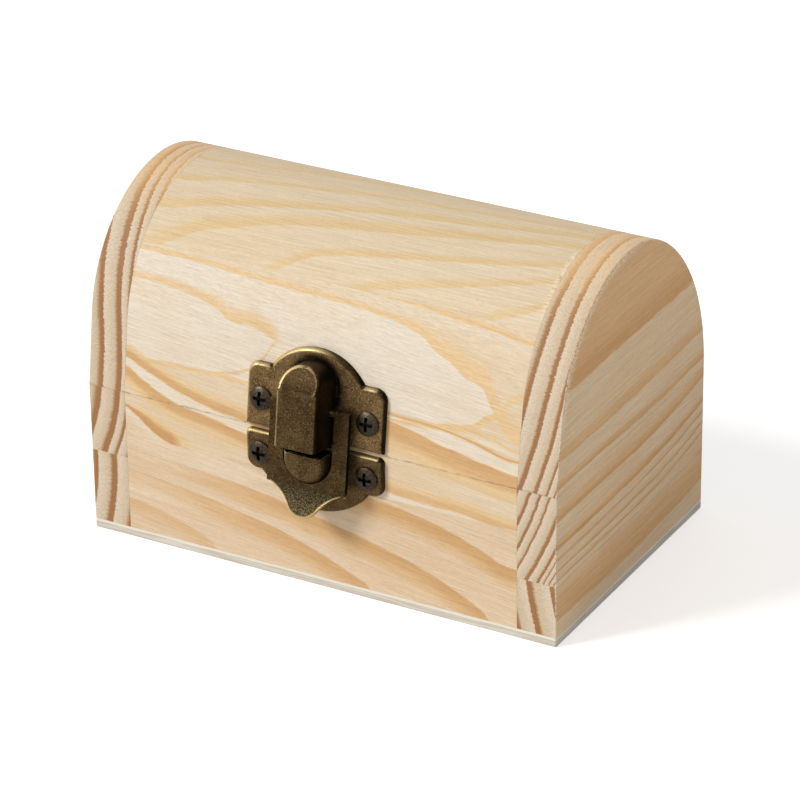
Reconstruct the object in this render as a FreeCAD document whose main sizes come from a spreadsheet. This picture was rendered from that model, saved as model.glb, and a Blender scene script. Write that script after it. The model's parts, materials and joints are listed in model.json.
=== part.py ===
"""Small wooden money box: a chest of pale pine with an arched lid.

The base is a tray of boards on a plywood panel. The lid is boards cut to one round arch.
Two butt hinges join them at the back. At the front a hooded latch plate on the lid carries a
swinging hasp, whose window drops over the knob of the catch plate on the base.

Frame: origin at the middle of the underside, +X to the right seen from the front, +Y to the
back, +Z up. Lengths are millimetres and angles are degrees.
"""
import FreeCAD, Part
import os
import Sketcher

doc = FreeCAD.newDocument("money_box")

# How near two lengths count as equal when edges are picked
NEAR = 1e-3

# Driving dimensions
SIZES = {
    # Boards
    "box_length": 130,
    "box_depth": 80,
    "base_height": 40,
    "panel_thick": 2.5,
    "board_thick": 11,
    "end_thick": 10.5,
    "front_seam_height": 28.8,
    "left_seam_height": 22,
    "right_seam_height": 16.3,
    "lid_gap": 0.2,
    "lid_rise": 48.5,
    "lid_setback": 7,
    "crest_forward": 2.4,
    "lid_glue_height": 4,
    # Both pressed plates of the latch
    "plate_width": 38,
    "plate_thick": 1.6,
    "plate_rim": 1.2,
    "plate_edge": 0.4,
    "ear_corner": 3,
    # Latch plate on the lid, measured up its own face from the row of screws
    "latch_screw_height": 7.6,
    "latch_ear_rise": 8.9,
    "latch_disc_rise": 0.4,
    "latch_disc_radius": 15.2,
    "hood_width": 11.3,
    "hood_depth": 9.2,
    "hood_drop": 7.4,
    "hood_crease_rise": 7.2,
    "hood_cap_slope": 32,
    "hood_crown_flat": 0.8,
    "hood_round": 1,
    "hood_wall": 0.9,
    # Hasp, measured down from its pivot
    "hasp_axis_rise": 1,
    "hasp_axis_out": 1.7,
    "hasp_width": 21.7,
    "hasp_thick": 1.2,
    "hasp_shoulder": 0.8,
    "hasp_bar_radius": 0.8,
    "hasp_play": 0.45,
    "hasp_length": 19.9,
    "window_play": 1.15,
    "window_drop": 12.1,
    "lip_length": 7.7,
    "lip_flare": 18,
    "lip_tip_radius": 4.6,
    "lip_hollow_radius": 14,
    # Catch plate on the base, measured down from its top edge, and its knob from the hasp's pivot
    "catch_corner": 1.4,
    "catch_ear_drop": 10.6,
    "catch_disc_radius": 18.2,
    "catch_screw_drop": 5.7,
    "knob_drop": 12.7,
    "knob_play": 1.15,
    "knob_top_drop": 0.9,
    "knob_height": 5.2,
    "knob_round": 1.7,
    "knob_wall": 0.9,
    # Latch screws
    "latch_screw_spacing": 29.5,
    "latch_head_radius": 3,
    "latch_head_rim": 0.5,
    "latch_head_dome": 0.8,
    "latch_shank_radius": 1.2,
    "latch_shank_length": 8,
    "latch_recess_span": 3.6,
    "latch_recess_width": 0.9,
    "latch_recess_depth": 0.9,
    "screw_play": 0.1,
    # Hinges, set in from the ends of the box, and their screws
    "hinge_inset": 30,
    "hinge_length": 24,
    "leaf_width": 10,
    "leaf_thick": 0.9,
    "knuckle_radius": 1.6,
    "pin_radius": 0.8,
    "hinge_play": 0.2,
    "hinge_screw_spacing": 15,
    "hinge_screw_reach": 6.2,
    "hinge_head_radius": 1.8,
    "hinge_head_rim": 0.2,
    "hinge_head_dome": 0.4,
    "hinge_shank_radius": 0.8,
    "hinge_shank_length": 6,
    "hinge_recess_span": 2,
    "hinge_recess_width": 0.5,
    "hinge_recess_depth": 0.4,
}

# Places and sizes that follow from the driving dimensions
PLACES = {
    # Boards
    "half_length": "sizes.box_length / 2",
    "half_depth": "sizes.box_depth / 2",
    "inner_length": "sizes.box_length - 2 * sizes.end_thick",
    "inner_half_length": "half_length - sizes.end_thick",
    "inner_half_depth": "half_depth - sizes.board_thick",
    "wall_height": "sizes.base_height - sizes.panel_thick",
    "lid_bottom": "sizes.base_height + sizes.lid_gap",
    # Arch of the lid: a flat front that leans back, a round crown and a longer curve down the back
    "lean": "atan(sizes.lid_setback / sizes.lid_rise)",
    "front_reach": "half_depth - sizes.crest_forward",
    "back_reach": "half_depth + sizes.crest_forward",
    "crown_radius": "(front_reach * cos(lean) - sizes.lid_rise * sin(lean)) / (1 - sin(lean))",
    "crown_y": "-sizes.crest_forward",
    "crown_z": "sizes.lid_rise - crown_radius",
    "flank_y": "crown_y - crown_radius * cos(lean)",
    "flank_z": "crown_z + crown_radius * sin(lean)",
    "back_radius": "(back_reach ^ 2 + crown_z ^ 2 - crown_radius ^ 2) / (2 * (back_reach - crown_radius))",
    "back_centre": "half_depth - back_radius",
    "crown_end_y": "back_centre + back_radius * (crown_y - back_centre) / (back_radius - crown_radius)",
    "crown_end_z": "back_radius * crown_z / (back_radius - crown_radius)",
    "glue_top": "sqrt(back_radius ^ 2 - (inner_half_depth - back_centre) ^ 2)",
    "ceiling": "lid_bottom + glue_top - sizes.lid_glue_height",
    # The latch plate lies on the flat front of the lid
    "plate_turn": "90 deg - lean",
    "drill_turn": "-90 deg - lean",
    "latch_y": "sizes.latch_screw_height * tan(lean) - half_depth",
    "latch_z": "lid_bottom + sizes.latch_screw_height",
    "screw_seat_y": "latch_y - sizes.plate_thick * cos(lean)",
    "screw_seat_z": "latch_z + sizes.plate_thick * sin(lean)",
    "screw_x": "sizes.latch_screw_spacing / 2",
    # Latch plate outline
    "plate_half": "sizes.plate_width / 2",
    "plate_bottom": "sizes.plate_edge - sizes.latch_screw_height",
    "ear_flat": "plate_half - sizes.ear_corner",
    "ear_top": "sizes.latch_ear_rise",
    "ear_side_top": "sizes.latch_ear_rise - sizes.ear_corner",
    "latch_notch": "sqrt(sizes.latch_disc_radius ^ 2 - (ear_top - sizes.latch_disc_rise) ^ 2)",
    # Hood
    "face": "sizes.plate_thick",
    "root": "face / 2",
    "hood_half": "sizes.hood_width / 2",
    "hood_bottom": "-sizes.hood_drop",
    "hood_crease": "sizes.hood_crease_rise",
    "hood_top": "hood_crease + hood_half",
    "hood_front": "face + sizes.hood_depth",
    "hood_cap_front": "hood_front - hood_half * tan(sizes.hood_cap_slope)",
    "hood_arch": "hood_half - sizes.hood_crown_flat / 2",
    "hood_inside": "sizes.hood_width - 2 * sizes.hood_wall",
    "hood_inner_front": "hood_front - sizes.hood_wall",
    "axis_out": "face + sizes.hasp_axis_out",
    "slot_bottom": "sizes.hasp_axis_rise - sizes.hasp_bar_radius - sizes.hasp_play",
    "slot_top": "sizes.hasp_axis_rise + sizes.hasp_bar_radius + sizes.hasp_play",
    "slot_front": "axis_out + sizes.hasp_bar_radius + sizes.hasp_play",
    # Hasp
    "pivot_y": "latch_y + sizes.hasp_axis_rise * sin(lean) - axis_out * cos(lean)",
    "pivot_z": "latch_z + sizes.hasp_axis_rise * cos(lean) + axis_out * sin(lean)",
    "hasp_half": "sizes.hasp_width / 2",
    "window_half": "hood_half + sizes.window_play",
    "shoulder": "sizes.hasp_shoulder",
    "window_centre": "-sizes.window_drop",
    "window_bottom": "window_centre - window_half",
    "crease": "-sizes.hasp_length",
    "bar_length": "2 * window_half",
    "bend_radius": "sizes.hasp_thick / 2",
    "middle": "0",
    # The lip's round tip and hollow sides are arcs that touch where they meet
    "lip_centre": "sizes.lip_length - sizes.lip_tip_radius",
    "lip_reach": "sizes.lip_tip_radius + sizes.lip_hollow_radius",
    "lip_span": "sqrt(hasp_half ^ 2 + lip_centre ^ 2)",
    "lip_along": "(lip_reach ^ 2 - sizes.lip_hollow_radius ^ 2 + lip_span ^ 2) / (2 * lip_span)",
    "lip_across": "sqrt(lip_reach ^ 2 - lip_along ^ 2)",
    "lip_hollow_x": "(lip_along * hasp_half + lip_across * lip_centre) / lip_span",
    "lip_hollow_y": "(lip_along * lip_centre - lip_across * hasp_half) / lip_span",
    "lip_touch_x": "sizes.lip_tip_radius * lip_hollow_x / lip_reach",
    "lip_touch_y": "sizes.lip_tip_radius * lip_hollow_y / lip_reach - lip_centre",
    "lip_tip": "-sizes.lip_length",
    # Catch plate, whose knob stands in the closed hasp's window
    "catch_top": "sizes.base_height - sizes.plate_edge",
    "catch_y": "-half_depth",
    "catch_seat_y": "-half_depth - sizes.plate_thick",
    "catch_screw_v": "-sizes.catch_screw_drop",
    "catch_flat": "plate_half - sizes.catch_corner",
    "catch_side_top": "-sizes.catch_corner",
    "catch_screw_z": "catch_top - sizes.catch_screw_drop",
    "catch_ear_bottom": "-sizes.catch_ear_drop",
    "catch_ear_side": "sizes.ear_corner - sizes.catch_ear_drop",
    "catch_notch": "sqrt(sizes.catch_disc_radius ^ 2 - sizes.catch_ear_drop ^ 2)",
    "knob_radius": "window_half - sizes.knob_play",
    "knob_centre": "pivot_z - sizes.knob_drop * cos(lean) - catch_top",
    "knob_top": "-sizes.knob_top_drop",
    "knob_bottom": "knob_centre - knob_radius",
    "knob_front": "face + sizes.knob_height",
    "scoop_radius": "knob_radius - sizes.knob_wall",
    "scoop_top": "knob_top + sizes.knob_wall",
    "scoop_bottom": "knob_centre - scoop_radius",
    # Hinges
    "hinge_x": "sizes.hinge_inset - half_length",
    "hinge_start": "hinge_x - sizes.hinge_length / 2",
    "hinge_y": "half_depth + sizes.knuckle_radius + sizes.hinge_play",
    "hinge_z": "sizes.base_height + sizes.lid_gap / 2",
    "knuckle_room": "sizes.knuckle_radius + sizes.hinge_play",
    "middle_knuckle": "sizes.hinge_length / 3",
    "middle_start": "hinge_x - middle_knuckle / 2",
    "bore_radius": "sizes.pin_radius + sizes.hinge_play / 2",
    "leaf_plain": "sizes.leaf_width - knuckle_room",
    "hinge_screw_x": "hinge_x + sizes.hinge_screw_spacing / 2",
    "hinge_seat_y": "half_depth + sizes.leaf_thick",
    "base_screw_z": "hinge_z - sizes.hinge_screw_reach",
    "lid_screw_z": "hinge_z + sizes.hinge_screw_reach",
}

# Places on a screw, measured from under its head
for kind in ("latch", "hinge"):
    PLACES.update({
        kind + "_hole": "sizes.%s_shank_radius + sizes.screw_play" % kind,
        kind + "_hole_depth": "sizes.%s_shank_length + sizes.screw_play" % kind,
        kind + "_shank": "sizes.%s_shank_radius" % kind,
        kind + "_shank_end": "-sizes.%s_shank_length + sizes.%s_shank_radius" % (kind, kind),
        kind + "_point": "-sizes.%s_shank_length" % kind,
        kind + "_head": "sizes.%s_head_radius" % kind,
        kind + "_head_edge": "sizes.%s_head_rim" % kind,
        kind + "_crown": "sizes.%s_head_rim + sizes.%s_head_dome" % (kind, kind),
        kind + "_dome_radius": "(sizes.%s_head_radius ^ 2 + sizes.%s_head_dome ^ 2)"
                               " / (2 * sizes.%s_head_dome)" % (kind, kind, kind),
        kind + "_recess_half": "sizes.%s_recess_span / 2" % kind,
        kind + "_recess_side": "sizes.%s_recess_width / 2" % kind,
    })

sizes = doc.addObject("Spreadsheet::Sheet", "sizes")
places = doc.addObject("Spreadsheet::Sheet", "places")
for row, (alias, number) in enumerate(SIZES.items(), start=1):
    sizes.set("A%d" % row, str(number))
    sizes.setAlias("A%d" % row, alias)
doc.recompute()
for row, (alias, formula) in enumerate(PLACES.items(), start=1):
    places.set("A%d" % row, "=" + formula)
    places.setAlias("A%d" % row, alias)
doc.recompute()


def bind(item, **formulas):
    """Tie properties of an object to the sheets; a double underscore stands for a dot."""
    for path, formula in formulas.items():
        item.setExpression(path.replace("__", "."), formula)


def place(item, x="0", y="0", z="0", turn=None):
    """Set where an object stands, and how far it is turned about X."""
    if turn:
        item.Placement = FreeCAD.Placement(FreeCAD.Vector(), FreeCAD.Vector(1, 0, 0), 1)
        bind(item, Placement__Rotation__Angle=turn)
    bind(item, Placement__Base__x=x, Placement__Base__y=y, Placement__Base__z=z)


def block(label, length, width, height, x, y, z):
    """A box from its lowest corner."""
    item = doc.addObject("Part::Box", label)
    bind(item, Length=length, Width=width, Height=height)
    place(item, x, y, z)
    return item


def rod(label, radius, length, x, y, z, turn):
    """A round bar that starts at a point and runs along Z turned about X."""
    item = doc.addObject("Part::Cylinder", label)
    bind(item, Radius=radius, Height=length)
    place(item, x, y, z, turn)
    return item


def cross_rod(label, radius, length, x, y, z):
    """A round bar along X from its left end."""
    item = doc.addObject("Part::Cylinder", label)
    bind(item, Radius=radius, Height=length)
    item.Placement = FreeCAD.Placement(FreeCAD.Vector(), FreeCAD.Vector(0, 1, 0), 90)
    place(item, x, y, z)
    return item


def join(label, *items):
    fused = doc.addObject("Part::MultiFuse", label)
    fused.Shapes = list(items)
    return fused


def cut(label, base, tool):
    result = doc.addObject("Part::Cut", label)
    result.Base = base
    result.Tool = tool
    return result


def trim(label, base, tool):
    result = doc.addObject("Part::Common", label)
    result.Base = base
    result.Tool = tool
    return result


def mirror(label, item, x="0"):
    """The other-handed copy of an object across the plane at x."""
    copy = doc.addObject("Part::Mirroring", label)
    copy.Source = item
    copy.Normal = FreeCAD.Vector(1, 0, 0)
    bind(copy, Base__x=x)
    return copy


def pair(label, item, x="0"):
    """An object together with its mirror image across the plane at x."""
    both = doc.addObject("Part::Compound", label)
    both.Links = [item, mirror(label + "_mirrored", item, x)]
    return both


def origin_plane(body, role):
    return [plane for plane in body.Origin.OriginFeatures if plane.Role == role][0]


def read(name):
    """The present number of a named place, with an optional minus sign before the name."""
    if name.startswith("-"):
        return -float(getattr(places, name[1:]))
    return float(getattr(places, name))


def formula_of(name):
    return "-places." + name[1:] if name.startswith("-") else "places." + name


def radius_of(name):
    """The present number and the formula of a radius, a driving size or a place."""
    if name in SIZES:
        return float(getattr(sizes, name)), "sizes." + name
    return read(name), "places." + name


def start_sketch(body, label, role, lift=None):
    sketch = body.newObject("Sketcher::SketchObject", label)
    sketch.AttachmentSupport = [(origin_plane(body, role), "")]
    sketch.MapMode = "FlatFace"
    if lift:
        bind(sketch, AttachmentOffset__Base__z=lift)
    return sketch


def fix_point(sketch, piece, end, x, y):
    """Hold one end of a sketch line or arc at two named places."""
    for axis, name in (("DistanceX", x), ("DistanceY", y)):
        index = sketch.addConstraint(Sketcher.Constraint(axis, -1, 1, piece, end, read(name)))
        sketch.setExpression("Constraints[%d]" % index, formula_of(name))


def outline(sketch, corners):
    """Draw a closed outline through named corners.

    A corner is (x, y), and a straight side leaves it, or (x, y, radius, bulge), and an arc of
    that radius leaves it, bulging to the right of its way round if bulge is 1, left if -1.
    """
    points = [FreeCAD.Vector(read(corner[0]), read(corner[1]), 0) for corner in corners]
    ends = []
    for number, corner in enumerate(corners):
        start = points[number]
        finish = points[(number + 1) % len(points)]
        if len(corner) == 2:
            piece = sketch.addGeometry(Part.LineSegment(start, finish), False)
            ends.append((piece, 1, 2))
            continue
        radius_name, bulge = corner[2:]
        radius, formula = radius_of(radius_name)
        chord = finish - start
        height = radius - max(radius ** 2 - chord.Length ** 2 / 4, 0) ** 0.5
        side = FreeCAD.Vector(chord.y, -chord.x, 0).normalize() * (bulge * height)
        middle = (start + finish) * 0.5 + side
        if bulge == 1:
            piece = sketch.addGeometry(Part.Arc(start, middle, finish), False)
            ends.append((piece, 1, 2))
        else:
            piece = sketch.addGeometry(Part.Arc(finish, middle, start), False)
            ends.append((piece, 2, 1))
        index = sketch.addConstraint(Sketcher.Constraint("Radius", piece, radius))
        sketch.setExpression("Constraints[%d]" % index, formula)
    for number, (piece, start, finish) in enumerate(ends):
        following = ends[(number + 1) % len(ends)]
        sketch.addConstraint(
            Sketcher.Constraint("Coincident", piece, finish, following[0], following[1]))
        fix_point(sketch, piece, start, corners[number][0], corners[number][1])
    return sketch


def circle(sketch, radius, x, y):
    """Draw a circle about named places."""
    centre = FreeCAD.Vector(read(x), read(y), 0)
    number, formula = radius_of(radius)
    piece = sketch.addGeometry(Part.Circle(centre, FreeCAD.Vector(0, 0, 1), number), False)
    index = sketch.addConstraint(Sketcher.Constraint("Radius", piece, number))
    sketch.setExpression("Constraints[%d]" % index, formula)
    fix_point(sketch, piece, 3, x, y)
    return sketch


def grow(body, kind, sketch, length, symmetric=False, reverse=False):
    """Pad or pocket a sketch of the body and make the result the body's tip."""
    feature = body.newObject("PartDesign::" + kind, sketch.Label + "_" + kind.lower())
    feature.Profile = sketch
    feature.SideType = "Symmetric" if symmetric else "One side"
    feature.Reversed = reverse
    bind(feature, Length=length)
    body.Tip = feature
    doc.recompute()
    return feature


def soften(body, label, radius, chosen):
    """Round the edges of the body that the chosen test picks."""
    base = body.Tip
    edges = enumerate(base.Shape.Edges, start=1)
    names = ["Edge%d" % number for number, edge in edges if chosen(edge)]
    feature = body.newObject("PartDesign::Fillet", label)
    feature.Base = (base, names)
    bind(feature, Radius=radius)
    body.Tip = feature
    doc.recompute()
    return feature


def new_body(label, x="0", y="0", z="0", turn=None):
    body = doc.addObject("PartDesign::Body", label)
    place(body, x, y, z, turn)
    return body


def lies_at(edge, height):
    """Whether a whole edge lies at one height above the body's XY plane."""
    box = edge.BoundBox
    return abs(box.ZMin - height) < NEAR and abs(box.ZMax - height) < NEAR


def runs_across(edge):
    """Whether an edge is straight along X."""
    box = edge.BoundBox
    return box.YLength < NEAR and box.ZLength < NEAR


# Base boards
panel = block("base_panel", "sizes.box_length", "sizes.box_depth", "sizes.panel_thick",
              "-places.half_length", "-places.half_depth", "0")

front_lower = block("front_lower_strip", "places.inner_length", "sizes.board_thick",
                    "sizes.front_seam_height - sizes.panel_thick", "-places.inner_half_length",
                    "-places.half_depth", "sizes.panel_thick")
front_blank = block("front_blank", "places.inner_length", "sizes.board_thick",
                    "sizes.base_height - sizes.front_seam_height", "-places.inner_half_length",
                    "-places.half_depth", "sizes.front_seam_height")
catch_drill = rod("catch_drill", "places.latch_hole", "places.latch_hole_depth", "places.screw_x",
                  "places.catch_y", "places.catch_screw_z", "-90")
front_upper = cut("front_upper_strip", front_blank, pair("catch_drills", catch_drill))

back_blank = block("back_blank", "places.inner_length", "sizes.board_thick", "places.wall_height",
                   "-places.inner_half_length", "places.inner_half_depth", "sizes.panel_thick")


def hinge_drills(label, height):
    """Four pilot holes into the back, two for the leaf of each hinge."""
    drill = rod(label + "_one", "places.hinge_hole", "places.hinge_hole_depth",
                "places.hinge_screw_x", "places.hinge_seat_y", height, "90")
    return pair(label, pair(label + "_two", drill, "places.hinge_x"))


back_board = cut("back_board", back_blank, hinge_drills("base_drills", "places.base_screw_z"))

end_boards = []
for side, start in (("left", "-places.half_length"), ("right", "places.inner_half_length")):
    seam = "sizes.%s_seam_height" % side
    end_boards.append(
        block("%s_end_lower_strip" % side, "sizes.end_thick", "sizes.box_depth",
              seam + " - sizes.panel_thick", start, "-places.half_depth", "sizes.panel_thick"))
    end_boards.append(
        block("%s_end_upper_strip" % side, "sizes.end_thick", "sizes.box_depth",
              "sizes.base_height - " + seam, start, "-places.half_depth", seam))

# Arch that every lid board is cut to, springing from the lid's lower edge
arch = new_body("arch", z="places.lid_bottom")
grow(arch, "Pad", outline(start_sketch(arch, "arch_section", "YZ_Plane"), [
    ("-half_depth", "middle"),
    ("half_depth", "middle", "back_radius", 1),
    ("crown_end_y", "crown_end_z", "crown_radius", 1),
    ("flank_y", "flank_z"),
]), "sizes.box_length", symmetric=True)

# Lid boards
lid_front_blank = block("lid_front_blank", "places.inner_length", "sizes.board_thick",
                        "sizes.lid_rise", "-places.inner_half_length", "-places.half_depth",
                        "places.lid_bottom")
latch_drill = rod("latch_drill", "places.latch_hole", "places.latch_hole_depth", "places.screw_x",
                  "places.latch_y", "places.latch_z", "places.drill_turn")
lid_front_board = cut("lid_front_board", trim("lid_front_arched", lid_front_blank, arch),
                      pair("latch_drills", latch_drill))

lid_back_blank = block("lid_back_blank", "places.inner_length", "sizes.board_thick",
                       "sizes.lid_rise", "-places.inner_half_length", "places.inner_half_depth",
                       "places.lid_bottom")
lid_back_board = cut("lid_back_board", trim("lid_back_arched", lid_back_blank, arch),
                     hinge_drills("lid_drills", "places.lid_screw_z"))

lid_top_blank = block("lid_top_blank", "places.inner_length", "2 * places.inner_half_depth",
                      "sizes.lid_rise", "-places.inner_half_length", "-places.inner_half_depth",
                      "places.ceiling")
lid_top_board = trim("lid_top_board", lid_top_blank, arch)

lid_ends = []
for side, start in (("left", "-places.half_length"), ("right", "places.inner_half_length")):
    blank = block("%s_lid_end_blank" % side, "sizes.end_thick", "sizes.box_depth", "sizes.lid_rise",
                  start, "-places.half_depth", "places.lid_bottom")
    lid_ends.append(trim("%s_lid_end" % side, blank, arch))


def screw_holes(body, label, height):
    """Two holes through a plate for its screws."""
    sketch = start_sketch(body, label, "XY_Plane")
    circle(sketch, "latch_hole", "screw_x", height)
    circle(sketch, "latch_hole", "-screw_x", height)
    grow(body, "Pocket", sketch, "sizes.plate_thick", reverse=True)


# Latch plate, on the lid; its body's Y runs up the plate and its Z outward
latch_sheet = new_body("latch_sheet", "0", "places.latch_y", "places.latch_z", "places.plate_turn")
grow(latch_sheet, "Pad", outline(start_sketch(latch_sheet, "latch_outline", "XY_Plane"), [
    ("-plate_half", "plate_bottom"),
    ("plate_half", "plate_bottom"),
    ("plate_half", "ear_side_top", "ear_corner", 1),
    ("ear_flat", "ear_top"),
    ("latch_notch", "ear_top", "latch_disc_radius", 1),
    ("-latch_notch", "ear_top"),
    ("-ear_flat", "ear_top", "ear_corner", 1),
    ("-plate_half", "ear_side_top"),
]), "sizes.plate_thick")
soften(latch_sheet, "latch_rim", "sizes.plate_rim", lambda edge: lies_at(edge, read("face")))
screw_holes(latch_sheet, "latch_holes", "middle")

# Hood of the latch plate, open below and slotted at both sides for the hasp's bar
hood = new_body("hood", "0", "places.latch_y", "places.latch_z", "places.plate_turn")
grow(hood, "Pad", outline(start_sketch(hood, "hood_side", "YZ_Plane"), [
    ("hood_bottom", "root"),
    ("hood_top", "root"),
    ("hood_top", "hood_cap_front"),
    ("hood_crease", "hood_front"),
    ("hood_bottom", "hood_front"),
]), "sizes.hood_width", symmetric=True)


def on_hood_top(edge):
    box = edge.BoundBox
    along_depth = box.XLength < NEAR and box.YLength < NEAR
    return along_depth and abs(box.YMin - read("hood_top")) < NEAR


def on_hood_front(edge):
    """The edges round the hood's flat front and sloping cap, without its crease and lower edge."""
    middle = edge.valueAt((edge.FirstParameter + edge.LastParameter) / 2)
    rise = max(middle.y - read("hood_crease"), 0)
    slope = (read("hood_front") - read("hood_cap_front")) / read("hood_half")
    on_front = abs(middle.z - read("hood_front") + slope * rise) < NEAR
    return on_front and not (runs_across(edge) and middle.y < read("hood_crease") + NEAR)


soften(hood, "hood_arch_round", "places.hood_arch", on_hood_top)
soften(hood, "hood_front_round", "sizes.hood_round", on_hood_front)
grow(hood, "Pocket", outline(start_sketch(hood, "hood_hollow", "YZ_Plane"), [
    ("hood_bottom", "face"),
    ("hood_crease", "face"),
    ("hood_crease", "hood_inner_front"),
    ("hood_bottom", "hood_inner_front"),
]), "places.hood_inside", symmetric=True)
grow(hood, "Pocket", outline(start_sketch(hood, "hasp_slots", "YZ_Plane"), [
    ("slot_bottom", "face"),
    ("slot_top", "face"),
    ("slot_top", "slot_front"),
    ("slot_bottom", "slot_front"),
]), "sizes.plate_width", symmetric=True)
latch_plate = join("latch_plate", latch_sheet, hood)

# Hasp, hanging from the round bar that lies in the hood; its body's origin is the pivot
hasp = new_body("hasp_frame", "0", "places.pivot_y", "places.pivot_z", "places.plate_turn")
grow(hasp, "Pad", outline(start_sketch(hasp, "hasp_outline", "XY_Plane"), [
    ("-hasp_half", "crease"),
    ("hasp_half", "crease"),
    ("hasp_half", "shoulder"),
    ("window_half", "shoulder"),
    ("window_half", "window_centre", "window_half", -1),
    ("middle", "window_bottom", "window_half", -1),
    ("-window_half", "window_centre"),
    ("-window_half", "shoulder"),
    ("-hasp_half", "shoulder"),
]), "sizes.hasp_thick", symmetric=True)
grow(hasp, "Pad", circle(start_sketch(hasp, "hasp_bar", "YZ_Plane"),
                         "hasp_bar_radius", "middle", "middle"), "places.bar_length", symmetric=True)
grow(hasp, "Pad", circle(start_sketch(hasp, "hasp_bend", "YZ_Plane"),
                         "bend_radius", "crease", "middle"), "sizes.hasp_width", symmetric=True)
lip_sketch = start_sketch(hasp, "hasp_lip", "XY_Plane")
lip_sketch.AttachmentOffset = FreeCAD.Placement(FreeCAD.Vector(), FreeCAD.Vector(-1, 0, 0), 1)
bind(lip_sketch, AttachmentOffset__Base__y="places.crease",
     AttachmentOffset__Rotation__Angle="sizes.lip_flare")
grow(hasp, "Pad", outline(lip_sketch, [
    ("hasp_half", "middle"),
    ("-hasp_half", "middle", "lip_hollow_radius", -1),
    ("-lip_touch_x", "lip_touch_y", "lip_tip_radius", 1),
    ("middle", "lip_tip", "lip_tip_radius", 1),
    ("lip_touch_x", "lip_touch_y", "lip_hollow_radius", -1),
]), "sizes.hasp_thick", symmetric=True)

# Catch plate, on the base; its body's origin is the middle of its top edge
catch_sheet = new_body("catch_sheet", "0", "places.catch_y", "places.catch_top", "90")
grow(catch_sheet, "Pad", outline(start_sketch(catch_sheet, "catch_outline", "XY_Plane"), [
    ("plate_half", "catch_side_top", "catch_corner", 1),
    ("catch_flat", "middle"),
    ("-catch_flat", "middle", "catch_corner", 1),
    ("-plate_half", "catch_side_top"),
    ("-plate_half", "catch_ear_side", "ear_corner", 1),
    ("-ear_flat", "catch_ear_bottom"),
    ("-catch_notch", "catch_ear_bottom", "catch_disc_radius", 1),
    ("catch_notch", "catch_ear_bottom"),
    ("ear_flat", "catch_ear_bottom", "ear_corner", 1),
    ("plate_half", "catch_ear_side"),
]), "sizes.plate_thick")
soften(catch_sheet, "catch_rim", "sizes.plate_rim", lambda edge: lies_at(edge, read("face")))
screw_holes(catch_sheet, "catch_holes", "catch_screw_v")

# Knob of the catch plate, a scoop open at its top
knob = new_body("knob", "0", "places.catch_y", "places.catch_top", "90")
grow(knob, "Pad", outline(start_sketch(knob, "knob_outline", "XY_Plane", "places.root"), [
    ("knob_radius", "knob_top"),
    ("-knob_radius", "knob_top"),
    ("-knob_radius", "knob_centre", "knob_radius", 1),
    ("middle", "knob_bottom", "knob_radius", 1),
    ("knob_radius", "knob_centre"),
]), "places.knob_front - places.root")
soften(knob, "knob_front_round", "sizes.knob_round",
       lambda edge: lies_at(edge, read("knob_front")) and not runs_across(edge))
grow(knob, "Pocket", outline(start_sketch(knob, "scoop", "XY_Plane", "places.face"), [
    ("scoop_radius", "scoop_top"),
    ("-scoop_radius", "scoop_top"),
    ("-scoop_radius", "knob_centre", "scoop_radius", 1),
    ("middle", "scoop_bottom", "scoop_radius", 1),
    ("scoop_radius", "knob_centre"),
]), "sizes.knob_height - sizes.knob_wall", reverse=True)
catch_plate = join("catch_plate", catch_sheet, knob)


def cross_head_screw(label, kind, x, y, z, turn):
    """A domed cross-head screw, seated under its head; its body's Z runs outward."""
    body = new_body(label, x, y, z, turn)
    turned = outline(start_sketch(body, label + "_profile", "XZ_Plane"), [
        ("middle", "%s_point" % kind),
        ("%s_shank" % kind, "%s_shank_end" % kind),
        ("%s_shank" % kind, "middle"),
        ("%s_head" % kind, "middle"),
        ("%s_head" % kind, "%s_head_edge" % kind, "%s_dome_radius" % kind, 1),
        ("middle", "%s_crown" % kind),
    ])
    solid = body.newObject("PartDesign::Revolution", label + "_turned")
    solid.Profile = turned
    solid.ReferenceAxis = (turned, ["V_Axis"])
    body.Tip = solid
    doc.recompute()
    long = "%s_recess_half" % kind
    short = "%s_recess_side" % kind
    cross = start_sketch(body, label + "_recess", "XY_Plane", "places.%s_crown" % kind)
    outline(cross, [
        (short, "-" + long), (short, "-" + short), (long, "-" + short), (long, short),
        (short, short), (short, long), ("-" + short, long), ("-" + short, short),
        ("-" + long, short), ("-" + long, "-" + short), ("-" + short, "-" + short),
        ("-" + short, "-" + long),
    ])
    grow(body, "Pocket", cross, "sizes.%s_recess_depth" % kind)
    return body


latch_screw = cross_head_screw("latch_screw", "latch", "places.screw_x", "places.screw_seat_y",
                               "places.screw_seat_z", "places.plate_turn")
latch_screws = pair("latch_plate_screws", latch_screw)
catch_screw = cross_head_screw("catch_screw", "latch", "places.screw_x", "places.catch_seat_y",
                               "places.catch_screw_z", "90")
catch_screws = pair("catch_screws", catch_screw)

# Hinges
base_screw = cross_head_screw("base_screw", "hinge", "places.hinge_screw_x", "places.hinge_seat_y",
                              "places.base_screw_z", "-90")
hinge_base_screws = pair("hinge_base_screws", pair("base_screw_pair", base_screw, "places.hinge_x"))
lid_screw = cross_head_screw("lid_screw", "hinge", "places.hinge_screw_x", "places.hinge_seat_y",
                             "places.lid_screw_z", "-90")
hinge_lid_screws = pair("hinge_lid_screws", pair("lid_screw_pair", lid_screw, "places.hinge_x"))


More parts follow.
